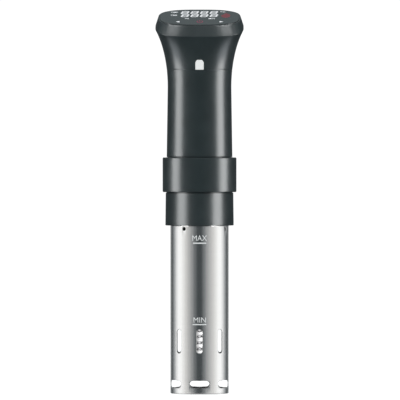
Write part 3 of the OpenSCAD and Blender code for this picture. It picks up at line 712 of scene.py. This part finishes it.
words = [
    text_on("mark_a", "TEMP", 7.2, 4.8, -24.8, 21.9, P0, P1, on_top, 0.02),
    text_on("mark_b", "TIME", 6.6, 4.8, -25.2, 8.6, P0, P1, on_top, 0.02),
    text_on("mark_c", "HR", 3.8, 4.4, -12.2, -6.6, P0, P1, on_top, 0.02),
    text_on("mark_d", "MIN", 6.0, 4.4, 12.0, -6.6, P0, P1, on_top, 0.02),
    text_on("mark_e", "C", 2.7, 4.4, 24.0, 23.6, P0, P1, on_top, 0.02),
    prism("mark_f", ring_poly(21.3, 24.8, 0.85, 0.55, 0, 360, 24), P0, P1, on_top),
    prism("mark_g", [[(-23.4, -20.8), (-19.6, -23.7), (-19.6, -17.9)], [(23.4, -20.8), (19.6, -17.9), (19.6, -23.7)]],
          P0, P1, on_top),
]
give(join(words, "panel_marks"), "digit_white", "housing")

power = ring_poly(0.3, -20.4, 2.7, 0.95, 122, 418, 36, 1.75) + [box_poly(-0.14, -20.0, 0.74, -13.6)]
give(prism("power_symbol", power, P0, P1, on_top), "icon_magenta", "housing")


def flame(cx, cy, w, h, steps=26):
    pts = []
    for k in range(steps):
        a = 2 * pi * k / steps
        x, y = sin(a), -cos(a)
        k2 = max(0.0, y)
        pts.append((cx + x * w / 2 * (1 - 0.85 * k2 ** 1.4) + 0.10 * w * sin(pi * k2), cy + y * h / 2))
    return pts


give(prism("heat_symbol", [flame(25.6, 7.6, 9.2, 20.6)], P0, P1, on_top), "icon_red", "housing")

# cord gland: a turned collar with a soft lip
gland = lathe("gland_collar", fillet(
    [(3.6, 26), (6.0, 26), (6.0, 37.6), (8.2, 37.6), (8.2, 39.1), (7.2, 40.0), (5.0, 40.0), (4.4, 39.3), (3.6, 38.9)],
    [0.3, 0.3, 0.0, 0.35, 0.5, 0.4, 0.3, 0.2, 0.3], 4), 96)
gland.data.transform(Matrix.Translation((0, 0, 0.350)) @ Matrix.Rotation(radians(-90), 4, "X"))
give(gland, "black_plastic", "housing", ("cord_gland",))

# ---------------------------------------------------------------- grip, collar


def grip_out(z):
    if z > Z_WAIST:
        return flare_at(z)
    return WAIST_R + (GRIP_R - WAIST_R) * ((Z_WAIST - z) / (Z_WAIST - 232.1)) ** 1.05


prof = [(29.0, 198.05), (SEAT_R - 0.2, 198.05), (SEAT_R, 198.25), (SEAT_R, 232.1)]
prof += [(GRIP_R - 0.5, 232.1), (GRIP_R - 0.18, 232.2), (GRIP_R, 232.55)]
for i in range(1, 70):
    z = 232.55 + (316.75 - 232.55) * i / 70
    prof.append((grip_out(z), z))
prof += [(grip_out(317.1) - 0.01, 317.12), (SEAM_R - 0.06, 317.22), (SEAM_R - 0.14, 317.26), (SEAM_R - 0.36, 317.26), (SEAM_R - 0.38, 317.44),
         (29.3, 317.44), (29.3, 320.6),
         (27.6, 320.6), (27.6, 312), (28.6, 308), (28.6, 240), (29, 236)]
grip = lathe("grip_shell", prof, 288, 34)
notch = prism("notch", [box_poly(-7, 317.2, 7, 326)], -24, -34, lambda u, v, h: (u, h, v))
cut(grip, notch)
give(grip, "black_plastic", "housing", ("grip_housing",))

prof = fillet([(28.75, 165.05), (COLLAR_R, 165.05), (33.15, 197.0), (32.3, 197.0), (32.3, 197.52), (28.9, 197.52), (28.9, 206), (26, 206), (26, 190),
               (28.5, 190), (28.5, 174.7), (30.9, 174.7), (30.9, 171.3), (28.5, 171.3)],
              [0.3, 0.55, 0.35, 0, 0, 0, 0, 0, 0, 0, 0, 0, 0, 0], 6)
collar = lathe("collar_shell", prof, 288, 34)
give(collar, "black_plastic", "housing", ("base_collar",))

# ---------------------------------------------------------------- clamp ring

prof = fillet([(33.0, Z_RING0), (RING_R, Z_RING0), (RING_R, 231.6), (33.0, 231.6)], [0.4, 1.0, 0.9, 0.4], 8)
ring = lathe("ring_shell", prof, 288, 34)


def rounded_box(name, x0, x1, y0, y1, z0, z1, r, segs=4):
    bm = bmesh.new()
    bmesh.ops.create_cube(bm, size=1.0)
    for v in bm.verts:
        v.co = Vector(((x0 + x1) / 2 + v.co.x * (x1 - x0), (y0 + y1) / 2 + v.co.y * (y1 - y0),
                       (z0 + z1) / 2 + v.co.z * (z1 - z0))) * MM
    bmesh.ops.bevel(bm, geom=bm.edges[:], offset=r * MM, segments=segs, profile=0.5, affect="EDGES")
    me = bpy.data.meshes.new(name)
    bm.to_mesh(me)
    bm.free()
    o = bpy.data.objects.new(name, me)
    scene.collection.objects.link(o)
    return o


pad = rounded_box("pad", -14, 14, 33.9, 39.5, 201, 229.5, 0.8)
cut(ring, pad, "UNION", 34)
give(ring, "black_plastic", "clamp", ("clamp_ring",))

# ---------------------------------------------------------------- tube

prof = fillet([(TUBE_R - TUBE_WALL, 1.25), (TUBE_R, 1.25), (TUBE_R, 165.4), (28.4, 165.6), (28.4, 189.8),
               (TUBE_R - TUBE_WALL, 189.8)], [0.1, 0.12, 0.1, 0, 0.2, 0.2], 3)
dense = []
for i, p in enumerate(prof):
    q = prof[(i + 1) % len(prof)]
    k = max(1, int(abs(q[1] - p[1]) / 12))
    for j in range(k):
        dense.append((p[0] + (q[0] - p[0]) * j / k, p[1] + (q[1] - p[1]) * j / k))
tube = lathe("steel_tube", dense, 288, 34)


def stadium(w, h, steps=18):
    r = min(w, h) / 2
    pts = []
    if w > h:
        cs = [((w - h) / 2, 0, -90), (-(w - h) / 2, 0, 90)]
    else:
        cs = [(0, (h - w) / 2, 0), (0, -(h - w) / 2, 180)]
    for cx, cy, a0 in cs:
        for k in range(steps + 1):
            a = radians(a0 + 180 * k / steps)
            pts.append((cx + r * cos(a), cy + r * sin(a)))
    return pts


LIP = [(-6.0, -0.36), (-0.55, -0.36), (-0.40, -0.33), (-0.27, -0.27), (-0.15, -0.17), (-0.06, -0.08), (0.0, 0.03), (5.0, 0.2)]


def lipped(outline, z, turn):
    """A cutter that follows the tube's curve and rounds the rim of the opening."""
    n = len(outline)
    c = [Vector(p) for p in outline]
    norm = []
    for i in range(n):
        d = c[(i + 1) % n] - c[i - 1]
        norm.append(Vector((d.y, -d.x)).normalized())
    rings = []
    for h, g in LIP:
        ring_ = []
        for p, q in zip(c, norm):
            u, v = p.x + q.x * g, p.y + q.y * g
            a_ = u / TUBE_R + radians(turn)
            ring_.append(((TUBE_R + h) * sin(a_), -(TUBE_R + h) * cos(a_), z + v))
        rings.append(ring_)
    return skin("lip", rings, True, 34)


def stretch_out(outline, k):
    """Arc length on the tube for a width measured straight across."""
    return [(TUBE_R * math.asin(max(-1, min(1, u / TUBE_R))) * k, v) for u, v in outline]


tools = [lipped(stretch_out(stadium(20.6, 7.9), 1), 9.75, 60 * i) for i in range(6)]
tools += [lipped(stretch_out(stadium(6.3, 24.0), 1), 51.8, 45 * i) for i in range(8)]
dot = [(2 * cos(2 * pi * k / 28), 2 * sin(2 * pi * k / 28)) for k in range(28)]
tools += [lipped(dot, 162, a_) for a_ in (-32, 62, 148, 242)]
cutter = join(tools, "cutter")
cut(tube, cutter, "DIFFERENCE", 34)
give(tube, "tube_steel", "housing", ("outer_tube",))

cap_prof = [(0.0, 0.0)] + [(TUBE_R - 1.2 + 1.2 * sin(radians(a)), 1.2 - 1.2 * cos(radians(a))) for a in range(0, 91, 10)]
cap_prof += [(27.9, 1.2), (27.84, 4.4), (27.7, 4.6), (27.0, 4.6), (26.9, 4.4), (26.9, 1.6), (26.5, 1.4), (0.0, 1.4)]
cap = lathe("tube_cap", cap_prof, 288, 34)
give(cap, "tube_steel", "housing", ("bottom_cap",))


# level marks printed on the tube, with a painted glow
def on_tube(u, v, h):
    a = u / TUBE_R
    return ((TUBE_R + h) * sin(a), -(TUBE_R + h) * cos(a), v)


def bar_strip(u0, u1, z0, z1, n=20):
    return [box_poly(u0 + (u1 - u0) * k / n, z0, u0 + (u1 - u0) * (k + 1) / n, z1) for k in range(n)]


marks = [
    text_on("m1", "MAX", 14.3, 5.2, 0.1, 153.0, -0.05, 0.02, on_tube, 0.0),
    text_on("m2", "MIN", 12.2, 5.0, 0.2, 72.9, -0.05, 0.02, on_tube, 0.0),
    prism("m3", bar_strip(-6.4, 6.6, 147.4, 148.6), -0.05, 0.02, on_tube),
    prism("m4", bar_strip(-6.9, 6.8, 67.9, 69.0), -0.05, 0.02, on_tube),
]
give(join(marks, "level_marks"), "print_painted_glow", "housing")

# ---------------------------------------------------------------- heater

turns, coil_r, pitch = 4, 14.2, 6.2
helix = [(coil_r * cos(radians(180 + i * 6)), coil_r * sin(radians(180 + i * 6)), 41 + pitch * (180 + i * 6 - 270) / 360)
         for i in range(turns * 60 + 1)]
down = spline([(-7.5, 11.2, 185), (-7.5, 11.2, 110), (-7.5, 11.2, 84), (-8.2, 11.9, 80.4), (-10.05, 13.7, 76.5),
               (-11.9, 15.5, 72.6), (-12.6, 16.2, 69), (-12.6, 16.2, 50), (-12.6, 16.2, 44.5), (-12.8, 15.2, 40.6),
               (-13.3, 12.3, 38.4), (-13.9, 8, 38.3), (-14.15, 4, 38.8), (-14.2, 0, 39.45)], 6)[:-1]
up = spline([(-14.2, 0, 64.25), (-14.6, -3.2, 65.3), (-15.7, -6, 67.8), (-17.2, -7.7, 71.6), (-18.5, -8.4, 76),
             (-19, -8.5, 81), (-19, -8.5, 110), (-19, -8.5, 185)], 6)[1:]
coil = sweep("heater_rod", [Vector(p) for p in list(down) + helix + list(up)], 2.5, 24)
give(coil, "heater_steel", "housing", ("heater_coil",))

# ---------------------------------------------------------------- softer edges on the clip


def soften(node, width, angle=30, segs=3):
    o = NODES[node]
    m = o.modifiers.new("edge", "BEVEL")
    m.width, m.segments, m.limit_method, m.angle_limit = width * MM, segs, "ANGLE", radians(angle)
    m.harden_normals = False
    return o


for n, w in (("clip_bracket", 0.5), ("clip_lever", 0.7), ("fixed_jaw_pad", 0.25), ("lever_jaw_pad", 0.25),
             ("hinge_pin", 0.3)):
    soften(n, w)

# ---------------------------------------------------------------- studio

floor_me = bpy.data.meshes.new("floor")
S = 8.0
floor_me.from_pydata([(-S, -S, 0), (S, -S, 0), (S, S, 0), (-S, S, 0)], [], [(0, 1, 2, 3)])
floor = bpy.data.objects.new("floor", floor_me)
scene.collection.objects.link(floor)
fm = bpy.data.materials.new("floor")
fm.use_nodes = True
t = fm.node_tree
t.nodes.clear()
out = t.nodes.new("ShaderNodeOutputMaterial")
lp = t.nodes.new("ShaderNodeLightPath")
mix = t.nodes.new("ShaderNodeMixShader")
clear = t.nodes.new("ShaderNodeBsdfTransparent")
pale = t.nodes.new("ShaderNodeBsdfDiffuse")
pale.inputs[0].default_value = (0.75, 0.75, 0.75, 1)
em = t.nodes.new("ShaderNodeEmission")
em.inputs[0].default_value = (1, 1, 1, 1)
em.inputs[1].default_value = 0.80
both = t.nodes.new("ShaderNodeAddShader")
t.links.new(pale.outputs[0], both.inputs[0])
t.links.new(em.outputs[0], both.inputs[1])
t.links.new(lp.outputs["Is Camera Ray"], mix.inputs[0])
t.links.new(clear.outputs[0], mix.inputs[1])
t.links.new(both.outputs[0], mix.inputs[2])
t.links.new(mix.outputs[0], out.inputs[0])
floor_me.materials.append(fm)

# a dim room with a soft ceiling
world = bpy.data.worlds.new("studio")
scene.world = world
world.use_nodes = True
t = world.node_tree
t.nodes.clear()


def wnode(kind, **kw):
    n = t.nodes.new(kind)
    for k, v in kw.items():
        setattr(n, k, v)
    return n


def calc(op, a, b=None):
    n = wnode("ShaderNodeMath", operation=op)
    for i, x in enumerate((a, b)):
        if x is None:
            continue
        if isinstance(x, (int, float)):
            n.inputs[i].default_value = x
        else:
            t.links.new(x, n.inputs[i])
    return n.outputs[0]


def tones(fac, stops, span):
    r = wnode("ShaderNodeValToRGB")
    e = r.color_ramp.elements
    r.color_ramp.interpolation = "LINEAR"
    while len(e) < len(stops):
        e.new(0.5)
    for el_, (x, c_) in zip(e, stops):
        el_.position = x / span
        el_.color = (c_[0] / 2, c_[1] / 2, c_[2] / 2, 1)
    t.links.new(fac, r.inputs[0])
    return r.outputs[0]


out = wnode("ShaderNodeOutputWorld")
lp = wnode("ShaderNodeLightPath")
tc = wnode("ShaderNodeTexCoord")
sep = wnode("ShaderNodeSeparateXYZ")
t.links.new(tc.outputs["Generated"], sep.inputs[0])
el = calc("ADD", calc("DIVIDE", calc("ARCSINE", sep.outputs["Z"]), pi), 0.5)
room = tones(el, [(0, (0.05, 0.055, 0.06)), (50, (0.06, 0.066, 0.07)), (72, (0.075, 0.088, 0.094)),
                  (104, (0.075, 0.088, 0.094)), (113, (0.27, 0.335, 0.35)), (122, (0.33, 0.36, 0.37)),
                  (180, (0.45, 0.46, 0.47))], 180)
dim = wnode("ShaderNodeBackground")
dim.inputs[1].default_value = 2.0
t.links.new(room, dim.inputs[0])
seen = wnode("ShaderNodeBackground")
seen.inputs[0].default_value = (1, 1, 1, 1)
seen.inputs[1].default_value = 1.05
mix = wnode("ShaderNodeMixShader")
t.links.new(lp.outputs["Is Camera Ray"], mix.inputs[0])
t.links.new(dim.outputs[0], mix.inputs[1])
t.links.new(seen.outputs[0], mix.inputs[2])
t.links.new(mix.outputs[0], out.inputs[0])


def softbox(name, azimuth, distance, width, z0, z1, radiance, lit=None, tint=(1, 1, 1), gloss=True, soft=False,
            face=None):
    """A box light: azimuth 0 is where the camera stands, positive to the right."""
    L = bpy.data.lights.new(name, "AREA")
    L.shape, L.size, L.size_y = "RECTANGLE", width, z1 - z0
    L.energy = radiance * pi * width * (z1 - z0)
    L.color = tint
    o = bpy.data.objects.new(name, L)
    scene.collection.objects.link(o)
    a_ = radians(azimuth)
    o.location = Vector((sin(a_) * distance, -cos(a_) * distance, (z0 + z1) / 2))
    d = Vector((-sin(a_), cos(a_), 0)) if face is None else Vector(face) - o.location
    o.rotation_mode = "QUATERNION"
    o.rotation_quaternion = d.to_track_quat("-Z", "Y")
    o.visible_camera = False
    o.visible_diffuse = soft
    o.visible_glossy = gloss
    if lit is not None:
        o.light_linking.receiver_collection = lit
    return o


def group(name, objs):
    c_ = bpy.data.collections.new(name)
    for o in objs:
        if o.name not in c_.objects:
            c_.objects.link(o)
    return c_


METAL = ("tube_steel", "bright_steel", "screw_steel", "pressed_metal", "aluminium", "bronze", "ferrite", "copper_iron")
metal_nodes = [o for n, o in NODES.items() if SLOT_OF[n] in METAL]
other_nodes = [o for n, o in NODES.items() if SLOT_OF[n] not in METAL]
dark_bodies = group("dark_bodies", [head, grip, ring, gland, panel])
small_parts = group("small_parts", other_nodes)
head_only = group("head_only", [head])
collar_only = group("collar_only", [collar])
metal_bodies = group("metal_bodies", [tube, cap, coil] + metal_nodes)
inside = group("inside", [coil, NODES["drive_shaft"]])

softbox("box_left", -79.3, 1.3, 0.66, -0.25, 0.78, 9.1, dark_bodies)
softbox("box_right", 79.3, 1.3, 0.66, -0.25, 0.78, 10.5, dark_bodies)
softbox("box_low_left", -73, 1.3, 1.0, -0.95, -0.25, 3.0, dark_bodies, (0.93, 0.98, 1.04))
softbox("box_low_right", 73, 1.3, 1.0, -0.95, -0.25, 3.3, dark_bodies, (0.93, 0.98, 1.04))
softbox("box_small_left", -60, 1.3, 0.7, -0.2, 0.8, 3.0, small_parts)
softbox("box_small_right", 125, 1.3, 0.7, -0.2, 0.8, 3.0, small_parts)
softbox("box_small_back", -140, 1.3, 0.6, 0.1, 0.9, 3.0, small_parts)
softbox("box_collar_left", -63, 1.3, 0.80, -0.6, 1.0, 9.3, collar_only)
softbox("box_collar_right", 63, 1.3, 0.80, -0.6, 1.0, 10.6, collar_only)
softbox("box_high_left", -47.5, 1.0, 0.9, 1.10, 1.60, 10.8, head_only, face=(0, 0, 0.36))
softbox("box_high_right", 47.5, 1.0, 0.9, 1.10, 1.60, 11.9, head_only, face=(0, 0, 0.36))

# strips side by side make a soft gradient for the metal, brightest beside it and dark in front
STRIPS = [(18, 0.14, 0.20, (0.97, 1.0, 1.02)), (30, 0.38, 0.46, (1.0, 1.0, 1.0)), (42, 0.62, 0.68, (1.01, 1.0, 0.985)),
          (54, 0.88, 0.88, (1.02, 1.0, 0.975)), (66, 1.20, 1.16, (1.01, 1.0, 0.985)), (78, 1.46, 1.46, (1.0, 1.0, 0.99)),
          (90, 1.48, 1.52, (1.0, 1.0, 1.0)), (102, 1.10, 1.15, (1.0, 1.0, 1.0)), (114, 0.50, 0.58, (0.98, 1.0, 1.02)),
          (126, 0.18, 0.20, (0.97, 1.0, 1.02)), (150, 0.25, 0.25, (1, 1, 1)), (162, 0.6, 0.6, (1, 1, 1)),
          (174, 1.0, 1.0, (1, 1, 1))]
for az_, lev_l, lev_r, tint in STRIPS:
    softbox("strip_%d_l" % az_, -az_, 1.5, 0.3153, -1.0, 1.4, lev_l, metal_bodies, tint)
    softbox("strip_%d_r" % az_, az_, 1.5, 0.3153, -1.0, 1.4, lev_r, metal_bodies, tint)

bounce = softbox("bounce_metal", 0, 0.0, 3.0, -2.1, 0.9, 0.45, metal_bodies, face=(0, 0, 5))
softbox("fill_left", -45, 1.3, 1.0, -0.3, 1.0, 1.32, None, (0.97, 1.0, 1.0), gloss=False, soft=True)
softbox("fill_right", 45, 1.3, 1.0, -0.3, 1.0, 1.32, None, (0.97, 1.0, 1.0), gloss=False, soft=True)
softbox("fill_back", 180, 1.3, 1.0, -0.3, 1.0, 1.1, None, (1, 1, 1), gloss=False, soft=True)
softbox("fill_inside", 0, 0.0272, 0.013, 0.026, 0.084, 1.0, inside)
softbox("fill_inside_right", 14, 0.0272, 0.005, 0.026, 0.084, 3.2, inside)
softbox("fill_core", 0, 0.008, 0.014, 0.030, 0.084, 0.55, inside)

# ---------------------------------------------------------------- camera

cam = bpy.data.cameras.new("camera")
cam.type = "PERSP"
cam.sensor_width = 36
cam.lens = 734.3
cam_o = bpy.data.objects.new("camera", cam)
scene.collection.objects.link(cam_o)
cam_o.location = (0.00045, -8.0, 0.278)
aim = Vector((0.00045, 0, 0.1899)) - cam_o.location
cam_o.rotation_mode = "QUATERNION"
cam_o.rotation_quaternion = aim.to_track_quat("-Z", "Y")
cam.clip_start, cam.clip_end = 0.1, 60
scene.camera = cam_o
scene.view_settings.view_transform = "Standard"
scene.view_settings.look = "None"
